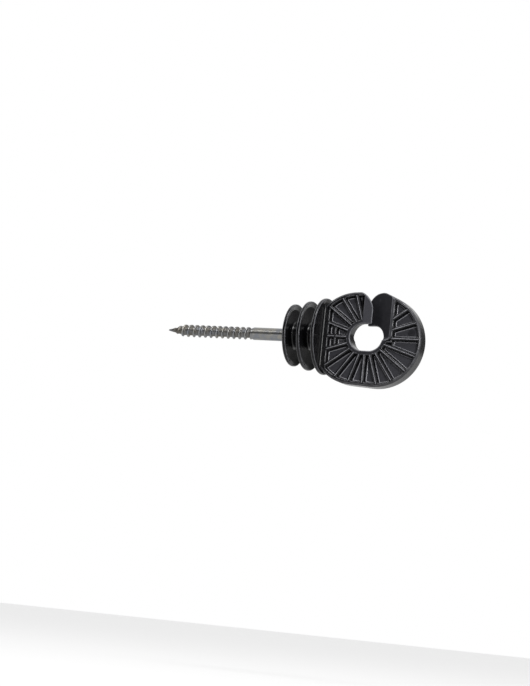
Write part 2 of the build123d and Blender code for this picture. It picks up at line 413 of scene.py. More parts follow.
# %% [markdown]
# The slot is a channel with a round floor. Its plane is slanted, so that a taut
# rope, which runs along Y, can't slip out. Between slot and eye, each lobe ends in
# a round nose. Here and below, side is -1 for the front face and its lobe, near
# the post, and 1 for the back face and the other lobe.

# %% Slot field
def across_slot(u, w):
    """Distance from the slot's slanted middle plane, w being the depth along Y."""
    return u * math.sin(SLOT_SLANT) + w * math.cos(SLOT_SLANT)


def slot_distance(u, w, v):
    """Distance to the slot's space: from its middle plane, or from its round floor."""
    return np.hypot(across_slot(u, w), np.minimum(v - SLOT_FLOOR, 0)) - SLOT_HALF


def nose_cut_distance(u, w, v, side):
    """Distance to what is cut away outside the round nose of one lobe."""
    middle, height, radius = NEAR_LOBE if side < 0 else FAR_LOBE
    from_nose = radius - np.hypot(u - middle, v - height)
    return np.maximum.reduce([from_nose, side * (u - middle),
                              height - v, -side * across_slot(u, w)])


print(f"the slot's middle lies {-slot_distance(0.0, 0.0, FAR_REACH):.2f} mm from its walls")

# %% [markdown]
# Between the ribs lie drafted pockets, which keep the wall thickness even while
# the plastic cools. All ribs point at the eye, so the angle is folded to the
# nearest rib, and one formula makes every pocket.

# %% Pocket field
def ribbed_field(u, v, side):
    """Distances to each side of the area that ribs and pockets share on one face."""
    fin_side = DISH_FLOOR_X - EYE_X
    wall, thickness, half_height = CROSS_WALL
    return [
        plate_distance(u - RIM_SHIFT, v) + RIM_BORDER,
        EYE_RING - eye_distance(u, v),
        fin_side + FIN_BORDER - u,
        -box_distance(-side * u, v, SLOT_NEAR - LOBE_BORDER, SLOT_FAR + SLOT_BORDER,
                      -SLOT_BELOW_EYE - SLOT_BORDER, FAR_REACH),
        -box_distance(u, v, wall - thickness / 2, wall + thickness / 2,
                      -half_height, half_height),
    ]


def pocket_outline(u, v, side):
    """Distance to the nearest pocket's outline on one face, negative inside it."""
    turns = np.arctan2(v, u) / (2 * np.pi) * RIBS
    to_rib = np.abs(turns - np.round(turns)) / RIBS * 2 * np.pi
    beside_rib = RIB_WIDTH / 2 - np.hypot(u, v) * np.sin(to_rib)
    return round_overlap(POCKET_CORNER, beside_rib, *ribbed_field(u, v, side))


def pocket_distance(u, w, v, side):
    """Distance to one face's pockets: walls that lean in by the draft, down to a floor."""
    depth = HEAD_THICKNESS / 2 - side * w
    walls = pocket_outline(u, v, side) * math.cos(POCKET_DRAFT) + depth * math.sin(POCKET_DRAFT)
    lobe_guard = np.where(side * across_slot(u, w) > 0,
                          LOBE_WALL - slot_distance(u, w, v), -FAR_REACH)
    return round_overlap(POCKET_FOOT, walls, depth - POCKET_DEPTH, lobe_guard)


sample_lines = np.linspace(-FAR_REACH, FAR_REACH, 401)
sample_u, sample_v = np.meshgrid(sample_lines, sample_lines)
in_plate = plate_distance(sample_u, sample_v) < 0
in_pocket = pocket_outline(sample_u, sample_v, -1) < 0
print(f"pockets take {in_pocket[in_plate].mean():.0%} of the head's outline in front")

# %% [markdown]
# The head is then the plate, less the eye, the slot, what lies outside the two
# noses, and the pockets of both faces. A thin disc joins it to the last fin's dish
# with a fillet.

# %% Head field
def head_distance(points):
    """Distance to the head's skin for points (x, y, z) in millimetres."""
    x, w, v = points[..., 0], points[..., 1], points[..., 2]
    u = x - EYE_X
    head = round_overlap(HEAD_EDGE, plate_distance(u, v), np.abs(w) - HEAD_THICKNESS / 2)
    head = round_overlap(EYE_EDGE, head, -eye_distance(u, v))
    lobes = [-nose_cut_distance(u, w, v, side) for side in (-1, 1)]
    head = round_overlap(LOBE_EDGE, head, -slot_distance(u, w, v), *lobes)
    for side in (-1, 1):
        head = round_overlap(POCKET_EDGE, head, -pocket_distance(u, w, v, side))
    behind_disc = DISH_FLOOR_X - DISC_THICKNESS - x
    head = np.maximum(head, behind_disc)
    disc = np.maximum.reduce([x - DISH_FLOOR_X, behind_disc,
                              np.hypot(w, v) - FIN_RADII[-1] + DISH_LIP - DISC_REACH])
    return round_union(SEAM_FILLET, head, disc)


eye_middle = np.array([[EYE_X, 0.0, 0.0]])
print(f"the field says {head_distance(eye_middle)[0]:.2f} mm in the eye's middle,",
      f"where the plastic is {EYE_RADIUS} mm away")

# %% [markdown]
# ## From field to mesh
# The field is sampled on a box of grid points. Every cell whose corners differ
# in sign holds one vertex, at the mean of the places where its edges cross zero.
# Every grid edge that crosses zero gets one quad between the four cells round it.
# The vertices are then moved along the field's gradient until they lie exactly on
# the skin, and the gradient there is the exact normal for smooth shading.

# %% Vertices of crossed cells
CORNERS = np.array([[i, j, k] for i in (0, 1) for j in (0, 1) for k in (0, 1)])
CELL_EDGES = [(a, b) for a in range(8) for b in range(a + 1, 8)
              if np.abs(CORNERS[a] - CORNERS[b]).sum() == 1]


def corner_values(values, corner):
    """The grid's values at one corner of every cell."""
    i, j, k = corner
    n = values.shape
    return values[i : n[0] - 1 + i, j : n[1] - 1 + j, k : n[2] - 1 + k]


def cell_vertices(values, axes):
    """One point per crossed cell, and the grid of their numbers, -1 where none."""
    inside = np.stack([corner_values(values, c) < 0 for c in CORNERS])
    crossed = inside.any(0) & ~inside.all(0)
    cell = np.argwhere(crossed)
    at = np.stack([corner_values(values, c)[crossed] for c in CORNERS], 1)
    low = np.stack([axes[k][cell[:, k]] for k in range(3)], 1)
    size = np.stack([axes[k][cell[:, k] + 1] for k in range(3)], 1) - low
    total, count = np.zeros((len(cell), 3)), np.zeros((len(cell), 1))
    for a, b in CELL_EDGES:
        crosses = (at[:, a] < 0) != (at[:, b] < 0)
        step = at[:, a] - at[:, b]
        share = np.where(crosses, at[:, a] / np.where(step == 0, 1, step), 0)[:, None]
        place = CORNERS[a] + (CORNERS[b] - CORNERS[a]) * share
        total += place * crosses[:, None]
        count += crosses[:, None]
    number = np.full(crossed.shape, -1)
    number[crossed] = np.arange(len(cell))
    return low + size * total / count, number


def ball_distance(points):
    """Distance to a ball of radius 1, to try the mesher on."""
    return np.linalg.norm(points, axis=-1) - 1


BALL_AXES = (np.arange(-1.5, 1.6, 0.25),) * 3
ball_values = ball_distance(np.stack(np.meshgrid(*BALL_AXES, indexing="ij"), -1))
ball_points, ball_number = cell_vertices(ball_values, BALL_AXES)
print("a test ball gets", len(ball_points), "vertices")

# %% Quads of crossed edges
def crossing_quads(values, number):
    """A quad for every crossed grid edge, turned so that it faces out of the solid."""
    quads = []
    inside = values < 0
    for axis in range(3):
        first = np.take(inside, range(inside.shape[axis] - 1), axis)
        second = np.take(inside, range(1, inside.shape[axis]), axis)
        keep = [slice(1, -1)] * 3
        keep[axis] = slice(None)
        edge = np.argwhere((first != second)[tuple(keep)])
        edge += np.array([0 if k == axis else 1 for k in range(3)])
        leaving = first[tuple(edge.T)]
        b, c = [(axis + 1) % 3, (axis + 2) % 3]
        ring = []
        for db, dc in ((-1, -1), (0, -1), (0, 0), (-1, 0)):
            cell = edge.copy()
            cell[:, b] += db
            cell[:, c] += dc
            ring.append(number[tuple(cell.T)])
        ring = np.stack(ring, 1)
        quads.append(np.where(leaving[:, None], ring, ring[:, ::-1]))
    return np.concatenate(quads)


print("the test ball gets", len(crossing_quads(ball_values, ball_number)), "quads")

# %% Onto the skin
def gradient(field, points, step=0.02):
    """Slope of the field at points, by differences over a small step each way."""
    shifts = np.eye(3) * step
    return np.stack([field(points + s) - field(points - s) for s in shifts], 1) / (2 * step)


def onto_skin(field, points, rounds=5, longest=0.12):
    """Moves points along the gradient by distance / slope, a little at a time."""
    for _ in range(rounds):
        slope = gradient(field, points)
        size = np.maximum((slope**2).sum(1, keepdims=True), 0.05)
        move = -field(points)[:, None] * slope / size
        length = np.maximum(np.linalg.norm(move, axis=1, keepdims=True), 1e-9)
        points = points + move * np.minimum(1, longest / length)
    return points


def field_mesh(field, axes):
    """Points, faces and normals of a field's skin inside the box of three axes."""
    grid = np.stack(np.meshgrid(*axes, indexing="ij"), -1)
    values = field(grid)
    points, number = cell_vertices(values, axes)
    faces = crossing_quads(values, number)
    points = onto_skin(field, points)
    slope = gradient(field, points)
    return points, faces, slope / np.linalg.norm(slope, axis=1, keepdims=True)


ball_points, _, _ = field_mesh(ball_distance, BALL_AXES)
print(f"its vertices end at most {np.abs(ball_distance(ball_points)).max():.0e} off its skin")

# %% Head mesh
CELL = 0.33
COARSE_CELL = 0.9
FINE_HALF = 4.8
GRID_X = (DISH_FLOOR_X - 1.2, 86)
GRID_Y = (-17, 17.5)
GRID_Z = (-23.9, 22.9)


def stepped(*stops):
    """Grid line places: stops are (place, step up to the next place) pairs."""
    lines = [np.arange(a, b, step) for (a, step), (b, _) in zip(stops, stops[1:])]
    return np.concatenate(lines)


# Cells are small where the head is, and coarse beside its faces, where only the disc is.
head_axes = (
    np.arange(*GRID_X, CELL),
    stepped((GRID_Y[0], COARSE_CELL), (-FINE_HALF, CELL), (FINE_HALF, COARSE_CELL),
            (GRID_Y[1], 0)),
    np.arange(*GRID_Z, CELL),
)
head_points, head_quads, head_normals = field_mesh(head_distance, head_axes)
head = mesh_piece("head", head_points, head_quads, head_normals)
print("head box", head_points.min(0).round(2), head_points.max(0).round(2))

# %% [markdown]
# A mould's cavity isn't polished everywhere. Pocket floors and the band beside the
# slot keep the fine pits of spark erosion, while rims and rib tops come out satin.
# Edges show pale wear, and the same pale colour paints highlight lines along them, along each
# rib's crest and along the fillet at each pocket's foot. Corners hold dust, and a hairline runs
# round the rim where the mould's halves met. The field knows where each of these is, so they are
# stored on the mesh as one number per point, and the finish reads them by name.

# %% Numbers stored on a mesh
def stamp(piece, name, values):
    """Stores one number for each point of a piece."""
    layer = piece.data.attributes.new(name, "FLOAT", "POINT")
    layer.data.foreach_set("value", np.ascontiguousarray(values, np.float32))
    print(f"{piece.name}: {name} from {values.min():.2f} to {values.max():.2f}")


def smooth(share):
    """Rises from 0 to 1 with level ends: 3 s^2 - 2 s^3."""
    share = np.clip(share, 0, 1)
    return share * share * (3 - 2 * share)


def face_place(points):
    """For points on the head: (u, w, v) from the eye's middle, side of the face, depth."""
    u, w, v = points[:, 0] - EYE_X, points[:, 1], points[:, 2]
    return u, w, v, np.where(w < 0, -1, 1), HEAD_THICKNESS / 2 - np.abs(w)


# %% Eroded skin
def eroded(points):
    """1 on pocket floors and the band by the slot, less round the eye and in the slot.

    The fillet round each floor stays satin, because a cutter made it, not the spark.
    Each share fades over 0.2 to 0.5 mm.
    """
    u, w, v, side, depth = face_place(points)
    on_face = smooth((0.35 - depth) / 0.25)
    wall = pocket_outline(u, v, side) + depth * math.tan(POCKET_DRAFT)
    floor = smooth((depth - POCKET_DEPTH + 0.5) / 0.4) * smooth((-wall - 0.25) / 0.25)
    beside_slot = box_distance(-side * u, v, SLOT_NEAR - LOBE_BORDER, SLOT_FAR, 0, FAR_REACH)
    band = smooth(-beside_slot / 0.4) * on_face
    ring = smooth((EYE_RING - eye_distance(u, v)) / 0.5) * on_face
    slot_wall = smooth((0.3 - slot_distance(u, w, v)) / 0.2)
    return np.maximum.reduce([floor, band, 0.4 * ring, 0.45 * slot_wall])


head_eroded = eroded(head_points)
stamp(head, "eroded", head_eroded)
print(f"{(head_eroded > 0.5).mean():.0%} of the head's points are eroded skin")

# %% Rib tops and pocket feet
def rib_tops(points):
    """1 on the faces' ribbed area at the height of the rib tops, 0 elsewhere."""
    u, _, v, side, depth = face_place(points)
    inside = np.maximum.reduce(ribbed_field(u, v, side))
    return smooth((0.4 - inside) / 0.4) * smooth((0.6 - depth) / 0.3)


def foot_reach(points):
    """Distance in millimetres from a pocket's wall or its floor, whichever is farther."""
    u, _, v, side, depth = face_place(points)
    wall = pocket_outline(u, v, side) + depth * math.tan(POCKET_DRAFT)
    return np.maximum(np.abs(wall), np.abs(POCKET_DEPTH - depth))


stamp(head, "rib_top", rib_tops(head_points))
# Used for the painted highlight line along the fillet at each pocket's foot.
stamp(head, "foot", foot_reach(head_points))

# %% Edge wear with painted highlights, and deep corners
# Bends, as 1 / mm, from which an edge counts as full wear and full painted highlight, and a
# corner as deep.
SHARP_EDGE = 2.2
DEEP_CORNER = 1.6


def bend(field, points, step=0.12):
    """How sharply the skin bends, 1 / radius: over 0 on edges, under 0 in corners.

    It is the sum of the field's second differences along X, Y and Z.
    """
    shifts = np.eye(3) * step
    around = sum(field(points + s) + field(points - s) for s in shifts)
    return (around - 6 * field(points)) / step**2


head_bend = bend(head_distance, head_points)
# Pale edge wear, which also paints highlight lines along every rounded edge.
stamp(head, "wear_and_sheen", smooth(head_bend / SHARP_EDGE))
stamp(head, "corner", smooth(-head_bend / DEEP_CORNER))

# %% Mould line
# It shows on the head's rim, which starts 0.3 mm inside the outline, and on all fins.
rim_side = smooth((plate_distance(head_points[:, 0] - EYE_X, head_points[:, 2]) + 0.3) / 0.2)
stamp(head, "mould_line", rim_side)
stamp(fins, "mould_line", np.ones(len(fin_points)))

# %% Fin rims: wear with painted highlight lines
def rim_corners(points):
    """1 along the middle of the two rounded corners of each fin's rim, 0 elsewhere."""
    x, reach = points[:, 0], np.hypot(points[:, 1], points[:, 2])
    shares = []
    for centre, rim in zip(FIN_CENTRES, FIN_RADII):
        beside, below = RIM_WIDTH / 2 - np.abs(x - centre), rim - reach
        shares.append(smooth((0.42 - np.abs(beside - below)) / 0.2) * (below < RIM_ROUNDING))
    return np.maximum.reduce(shares)


# Pale wear on the corners of each fin's rim, which also paints their highlight lines.
stamp(fins, "wear_and_sheen", rim_corners(fin_points))
stamp(fins, "foot", np.full(len(fin_points), FAR_REACH))

# %% [markdown]
# ## The steel support
# The support is a drawn steel rod with a rolled wood thread. A screw is one surface
# of two parameters: the place x along it and the angle t round it give the radius.
# In the thread, the ridge's middle moves one pitch for each turn, so the distance
# from it is worked out from x / pitch - t / turn. A Screw modifier could wind the
# ridge, but here the same surface also holds the point, the smooth shank and the
# knurled end that the plastic grips, with nothing to join.

# %% Screw surface
SCREW_STEPS = 96
THREAD_STEP = 0.1
SHANK_RINGS = 24
KNURL_RINGS = 60


def screw_radius(x, angle):
    """Radius of root, shank or inner end at x, plus the thread's ridge, less the knurl."""
    root = np.interp(
        x,
        [-THREAD_LENGTH, POINT_LENGTH - THREAD_LENGTH, -RUNOUT, 0],
        [TIP_RADIUS, ROOT_RADIUS, ROOT_RADIUS, SHANK_RADIUS],
    )
    inner = x > SHANK_LENGTH
    root = np.where(inner, INNER_RADIUS, root)
    turn = x / PITCH - angle / (2 * np.pi)
    from_ridge = np.abs(turn - np.round(turn)) * PITCH
    ridge = smooth((RIDGE_FOOT / 2 - from_ridge) / (RIDGE_FOOT / 2 - RIDGE_CREST / 2))
    rise = smooth((x + THREAD_LENGTH - RIDGE_START) / RIDGE_RISE)
    fade = rise * smooth(-(x + RIDGE_END) / RIDGE_FADE)
    crest = SHANK_RADIUS - ROOT_RADIUS
    knurl_pitch = 2 * np.pi * INNER_RADIUS / KNURLS
    groove = np.abs((angle / (2 * np.pi) * KNURLS) % 1 - 0.5) * knurl_pitch
    knurl = np.maximum(KNURL_DEPTH - groove, 0) * ((x > KNURL_SPAN[0]) & (x < KNURL_SPAN[1]))
    return np.minimum(root + crest * ridge * fade, SHANK_RADIUS) - knurl


def screw_surface():
    """Points (x, r sin t, r cos t) of the whole support, ring by ring, and two poles.

    The rings are dense in the thread, and two stand close where the bare shank ends.
    """
    end = SHANK_LENGTH + INNER_LENGTH
    places = np.concatenate([
        np.arange(-THREAD_LENGTH, 0.3, THREAD_STEP),
        np.linspace(0.4, SHANK_LENGTH - 0.01, SHANK_RINGS),
        np.linspace(SHANK_LENGTH + 0.01, end - END_CHAMFER, KNURL_RINGS),
        [end],
    ])
    angle = np.arange(SCREW_STEPS) / SCREW_STEPS * 2 * np.pi
    x, t = np.meshgrid(places, angle, indexing="ij")
    radius = screw_radius(x, t)
    radius[-1] -= END_CHAMFER
    ring = np.stack([x, radius * np.sin(t), radius * np.cos(t)], -1).reshape(-1, 3)
    poles = np.array([[places[0], 0, 0], [places[-1], 0, 0]])
    return np.concatenate([ring, poles]), len(places)


screw_points, screw_rings = screw_surface()
screw = mesh_piece("support_screw", screw_points, lathe_faces(screw_rings, SCREW_STEPS))
screw_reach = np.hypot(screw_points[:, 1], screw_points[:, 2])
stamp(screw, "root", smooth((SHANK_RADIUS - 0.1 - screw_reach) / 0.6))
print("screw box", screw_points.min(0).round(2), screw_points.max(0).round(2))

# %% [markdown]
# ## Materials
# Every finish is a small node tree. One function adds a node with its settings and
# inputs, and one turns the sRGB hex colours that people read from charts into the
# linear values that a renderer needs. Wear and dust lie on a finish as layers, so
# one function lays any number of them over a base colour.

# %% Material helpers
def linear(hex_colour):
    """sRGB hex to linear: ((c + 0.055) / 1.055) ^ 2.4 above 0.04045, c / 12.92 below."""
    part = [int(hex_colour[i : i + 2], 16) / 255 for i in (1, 3, 5)]
    line = [c / 12.92 if c <= 0.04045 else ((c + 0.055) / 1.055) ** 2.4 for c in part]
    return (*line, 1)


def new_finish(name):
    """An empty material and its tree."""
    finish = bpy.data.materials.new(name)
    finish.use_nodes = True
    tree = finish.node_tree
    tree.nodes.clear()
    return finish, tree


def add(tree, kind, inputs=(), **settings):
    """Adds a node, whose own properties are the settings.

    The inputs are a row that fills them in order, or a dict by name or number. Each
    one is a plain value, an output to link, or a node whose first output is linked.
    """
    node = tree.nodes.new(kind)
    for name, value in settings.items():
        setattr(node, name, value)
    named = inputs if isinstance(inputs, dict) else dict(enumerate(inputs))
    for name, value in named.items():
        if isinstance(value, bpy.types.Node):
            value = value.outputs[0]
        if isinstance(value, bpy.types.NodeSocket):
            tree.links.new(value, node.inputs[name])
        else:
            node.inputs[name].default_value = value
    return node


def layered(tree, colour, *layers):
    """A colour under layers, each a share that it covers and its own colour."""
    for share, cover in layers:
        mix = add(tree, "ShaderNodeMix", {0: share, 6: colour, 7: cover}, data_type="RGBA")
        colour = mix.outputs[2]
    return colour


print("half grey, #808080, is", round(linear("#808080")[0], 3), "in linear light")

# %% [markdown]
# ## The black polymer
# The moulding is polyamide blackened with soot, which makes it deep black and proof against
# sunlight. Its satin skin mirrors the room in thin lines along every edge, and those lines are
# also painted into its colour as pale highlight lines along edges, rib crests and pocket feet,
# while the eroded floors scatter light and look dark grey. Painted images could show that, but
# they would need the head unwrapped. Here colour, gloss and relief all follow the stored
# numbers, with a little noise in each.

# %% Marks drawn on the polymer
EJECTOR_PLACE = (EYE_X + 21.2, 3.1)
EJECTOR_RADIUS = 1.8
EJECTOR_FADE = 0.08
MOULD_LINE_HALF = 0.08
MOULD_LINE_CORE = 0.02
# Half widths of the painted highlight line on each rib's crest: where it fades out, and where it
# is full.
CREST_HALF = 0.22
CREST_CORE = 0.08


def reach_from(tree, place, x_mm, z_mm):
    """Offsets from a line along Y, and the distance: the root of x^2 + z^2."""
    parts = add(tree, "ShaderNodeSeparateXYZ", [place]).outputs
    x = add(tree, "ShaderNodeMath", (parts["X"], x_mm * MM), operation="SUBTRACT")
    z = add(tree, "ShaderNodeMath", (parts["Z"], z_mm * MM), operation="SUBTRACT")
    x_square = add(tree, "ShaderNodeMath", (x, x), operation="MULTIPLY")
    z_square = add(tree, "ShaderNodeMath", (z, z), operation="MULTIPLY")
    squares = add(tree, "ShaderNodeMath", (x_square, z_square), operation="ADD")
    return x, z, add(tree, "ShaderNodeMath", (squares, 0.5), operation="POWER")


def ejector_mark(tree, place):
    """1 on the round mark that a mould's ejector pin left in one pocket of the front face."""
    _, _, reach = reach_from(tree, place, *EJECTOR_PLACE)
    outer, inner = EJECTOR_RADIUS + EJECTOR_FADE, EJECTOR_RADIUS - EJECTOR_FADE
    disc = add(tree, "ShaderNodeMapRange", (reach, outer * MM, inner * MM))
    depth = add(tree, "ShaderNodeSeparateXYZ", [place]).outputs["Y"]
    in_front = add(tree, "ShaderNodeMath", (depth, 0), operation="LESS_THAN")
    return add(tree, "ShaderNodeMath", (disc, in_front), operation="MULTIPLY")


def mould_line(tree, place):
    """1 on a hairline where the mould's halves met at Y = 0, if it shows on that skin."""
    depth = add(tree, "ShaderNodeSeparateXYZ", [place]).outputs["Y"]
    reach = add(tree, "ShaderNodeMath", [depth], operation="ABSOLUTE")
    near = add(tree, "ShaderNodeMapRange", (reach, MOULD_LINE_HALF * MM, MOULD_LINE_CORE * MM))
    shows = add(tree, "ShaderNodeAttribute", attribute_name="mould_line").outputs["Fac"]
    return add(tree, "ShaderNodeMath", (near, shows), operation="MULTIPLY")


# The painted highlight line along each rib's crest.
def rib_crest(tree, place, rib_top):
    """1 along the middle of each rib's top, and 0 from CREST_HALF to each side of it.

    The angle round the eye is folded to the nearest rib. Its sine times the
    distance from the eye is how far a point lies beside that rib's middle.
    """
    x, z, reach = reach_from(tree, place, EYE_X, 0)
    angle = add(tree, "ShaderNodeMath", (z, x), operation="ARCTAN2")
    fold = add(tree, "ShaderNodeMath", (angle, math.pi / RIBS), operation="PINGPONG")
    sine = add(tree, "ShaderNodeMath", [fold], operation="SINE")
    beside = add(tree, "ShaderNodeMath", (sine, reach), operation="MULTIPLY")
    line = add(tree, "ShaderNodeMapRange", (beside, CREST_HALF * MM, CREST_CORE * MM))
    return add(tree, "ShaderNodeMath", (line, rib_top), operation="MULTIPLY")


print(f"mould line {2 * MOULD_LINE_HALF} mm wide, rib crests {2 * CREST_HALF} mm")

# %% Colour of the polymer
SCUFF_SIZE = 2.5
FLOOR_TONES = (linear("#2b2b30"), linear("#38383d"))
SKIN_TONES = (linear("#08080a"), linear("#0f0f11"))
# Pale colour of edge wear, which also paints highlight lines on edges, rib crests and pocket
# feet.
WEAR_AND_HIGHLIGHT_COLOUR = linear("#a4a4aa")
DUST_COLOUR = linear("#4a463f")
# Distances in millimetres at which the painted highlight line at a pocket's foot starts and is
# full.
FOOT_LINE = (0.36, 0.22)


def polymer_wear_and_highlight(tree, place):
    """How pale the skin is painted: edge wear that also paints highlight lines, more off the
    ribs, or a painted highlight line on a rib's crest, with scuffs.
    """
    # Edge wear, which also paints highlight lines along rounded edges and fin rims.
    wear_and_sheen = add(tree, "ShaderNodeAttribute", attribute_name="wear_and_sheen").outputs["Fac"]
    rib_top = add(tree, "ShaderNodeAttribute", attribute_name="rib_top").outputs["Fac"]
    off_ribs = add(tree, "ShaderNodeMapRange", (rib_top, 0, 1, 0.5, 0.03))
    edges = add(tree, "ShaderNodeMath", (wear_and_sheen, off_ribs), operation="MULTIPLY")
    # Painted highlight line along each rib's crest.
    crests = rib_crest(tree, place, rib_top)
    wear_and_highlight = add(tree, "ShaderNodeMath", (edges, crests), operation="MAXIMUM")
    noise = add(tree, "ShaderNodeTexNoise",
                {"Vector": place, "Scale": 1 / (SCUFF_SIZE * MM), "Detail": 2})
    scuffs = add(tree, "ShaderNodeMapRange", (noise, 0.35, 0.65, 0.45, 0.8))
    return add(tree, "ShaderNodeMath", (wear_and_highlight, scuffs), operation="MULTIPLY")


def polymer_colour(tree, place, pits, clouds, pitted):
    """Black skin and dark grey floors, paler with edge wear and painted highlight lines on
    edges, rib crests and pocket feet, dusty in corners.
    """
    speckles = add(tree, "ShaderNodeMapRange", (pits, 0.35, 0.65))
    floor = layered(tree, FLOOR_TONES[0], (speckles, FLOOR_TONES[1]))
    patches = add(tree, "ShaderNodeMapRange", (clouds, 0.4, 0.65))
    corner = add(tree, "ShaderNodeAttribute", attribute_name="corner").outputs["Fac"]
    film = add(tree, "ShaderNodeMapRange", (clouds, 0.5, 0.7, 0, 0.08))
    dusty = add(tree, "ShaderNodeMath", (corner, film), operation="MULTIPLY")
    # Painted highlight line along the fillet at each pocket's foot.
    foot = add(tree, "ShaderNodeAttribute", attribute_name="foot").outputs["Fac"]
    foot_highlight = add(tree, "ShaderNodeMapRange", (foot, *FOOT_LINE, 0, 0.7))
    return layered(tree, SKIN_TONES[0], (patches, SKIN_TONES[1]), (pitted, floor),
                   (polymer_wear_and_highlight(tree, place), WEAR_AND_HIGHLIGHT_COLOUR), (dusty, DUST_COLOUR),
                   (foot_highlight, WEAR_AND_HIGHLIGHT_COLOUR))


print("worn plastic is", round(WEAR_AND_HIGHLIGHT_COLOUR[0] / SKIN_TONES[0][0]), "times as pale as the skin")

# %% Relief of the polymer
WAVE_SIZE = 9.0
RELIEF_HEIGHT = 0.03


def polymer_relief(tree, place, pits, pitted):
    """Normals bumped by the pits of eroded skin, faint flow waves and the mould line."""
    depth = add(tree, "ShaderNodeMapRange", (pitted, 0.1, 1, 0, 0.9))
    relief = add(tree, "ShaderNodeMath", (pits, depth), operation="MULTIPLY")
    flow = add(tree, "ShaderNodeTexNoise",
               {"Vector": place, "Scale": 1 / (WAVE_SIZE * MM), "Detail": 1})
    for part, height in ((flow, 0.6), (mould_line(tree, place), 1.2)):
        raised = add(tree, "ShaderNodeMath", (part, height), operation="MULTIPLY")
        relief = add(tree, "ShaderNodeMath", (relief, raised), operation="ADD")
    return add(tree, "ShaderNodeBump",
               {"Strength": 0.5, "Distance": RELIEF_HEIGHT * MM, "Height": relief})


print("relief of", RELIEF_HEIGHT, "mm, on waves of", WAVE_SIZE, "mm")

# %% Black polymer
# Sizes of the noise's blobs in millimetres. Real spark pits are finer, but would not show.
PIT_SIZE = 0.22
CLOUD_SIZE = 4.0
SATIN_ROUGHNESS = (0.19, 0.26)
ERODED_ROUGHNESS = 0.62
POLYAMIDE_IOR = 1.53


def black_polymer():
    """Injection-moulded polyamide with soot: satin skin, eroded floors, edge wear with painted
    highlight lines.

    The ejector pin's end was made smooth, so its mark is less pitted. Soot near the skin
    swallows part of the mirrored light, hence the lower specular level.
    """
    finish, tree = new_finish("black_polyamide_moulded")
    place = add(tree, "ShaderNodeTexCoord").outputs["Object"]
    pits = add(tree, "ShaderNodeTexNoise",
               {"Vector": place, "Scale": 1 / (PIT_SIZE * MM), "Detail": 2})
    clouds = add(tree, "ShaderNodeTexNoise",
                 {"Vector": place, "Scale": 1 / (CLOUD_SIZE * MM), "Detail": 4})
    eroded_skin = add(tree, "ShaderNodeAttribute", attribute_name="eroded").outputs["Fac"]
    off_mark = add(tree, "ShaderNodeMapRange", (ejector_mark(tree, place), 0, 1, 1, 0.45))
    pitted = add(tree, "ShaderNodeMath", (eroded_skin, off_mark), operation="MULTIPLY")
    satin = add(tree, "ShaderNodeMapRange", (clouds, 0.35, 0.7, *SATIN_ROUGHNESS))
    roughness = add(tree, "ShaderNodeMix", {0: pitted, 2: satin, 3: ERODED_ROUGHNESS})
    skin = add(tree, "ShaderNodeBsdfPrincipled", {
        "Base Color": polymer_colour(tree, place, pits, clouds, pitted),
        "Roughness": roughness,
        "Normal": polymer_relief(tree, place, pits, pitted),
        "IOR": POLYAMIDE_IOR,
        "Specular IOR Level": 0.25,
    })
    add(tree, "ShaderNodeOutputMaterial", {"Surface": skin})
    return finish


polymer = black_polymer()
for piece in (fins, head):
    piece.data.materials.append(polymer)
print(polymer.name, "has", len(polymer.node_tree.nodes), "nodes")

# %% [markdown]
# ## The zinc-plated steel
# Bright zinc is a real metal skin, so the shader is fully metallic. Drawing the bar
# leaves fine lines along it, the passivation tints it a little bluer or warmer in
# soft clouds, and the thread's root stays dull with wood dust. An anisotropic gloss
# could stand for the drawn lines, but stretched noise gives them a colour as well.

# %% Zinc-plated steel
# Sizes in millimetres. Real drawn lines are finer, but would not show.
LINE_LENGTH = 16.7
LINE_WIDTH = 0.25
ZINC_CLOUD_SIZE = 3.5
ZINC_TONES = (linear("#7d8086"), linear("#95928a"))
LINE_COLOUR = linear("#5d6066")
WOOD_DUST_COLOUR = linear("#4f4a43")
DRAWN_ROUGHNESS = (0.22, 0.36)
DULL_ROUGHNESS = 0.6


def zinc_steel():
    """Cold-drawn steel with a bright zinc plate: metal, lightly drawn along its length."""
    finish, tree = new_finish("zinc_plated_steel_drawn")
    place = add(tree, "ShaderNodeTexCoord").outputs["Object"]
    per_metre = [1 / (size * MM) for size in (LINE_LENGTH, LINE_WIDTH, LINE_WIDTH)]
    along = add(tree, "ShaderNodeMapping", {"Vector": place, "Scale": per_metre})
    lines = add(tree, "ShaderNodeTexNoise", {"Vector": along, "Scale": 1, "Detail": 2})
    clouds = add(tree, "ShaderNodeTexNoise",
                 {"Vector": place, "Scale": 1 / (ZINC_CLOUD_SIZE * MM), "Detail": 3})
    tints = add(tree, "ShaderNodeMapRange", (clouds, 0.35, 0.65))
    drawn = add(tree, "ShaderNodeMapRange", (lines, 0.4, 0.7, 0, 0.35))
    root = add(tree, "ShaderNodeAttribute", attribute_name="root").outputs["Fac"]
    film = add(tree, "ShaderNodeMapRange", (clouds, 0.3, 0.6, 0.25, 0.7))
    dull = add(tree, "ShaderNodeMath", (root, film), operation="MULTIPLY")
    colour = layered(tree, ZINC_TONES[0], (tints, ZINC_TONES[1]), (drawn, LINE_COLOUR),
                     (dull, WOOD_DUST_COLOUR))
    gloss = add(tree, "ShaderNodeMapRange", (lines, 0.3, 0.7, *DRAWN_ROUGHNESS))
    roughness = add(tree, "ShaderNodeMix", {0: dull, 2: gloss, 3: DULL_ROUGHNESS})
    bump = add(tree, "ShaderNodeBump", {"Strength": 0.3, "Distance": 0.02 * MM, "Height": lines})
    skin = add(tree, "ShaderNodeBsdfPrincipled", {
        "Base Color": colour,
        "Metallic": 1,
        "Roughness": roughness,
        "Normal": bump,
    })
    add(tree, "ShaderNodeOutputMaterial", {"Surface": skin})
    return finish


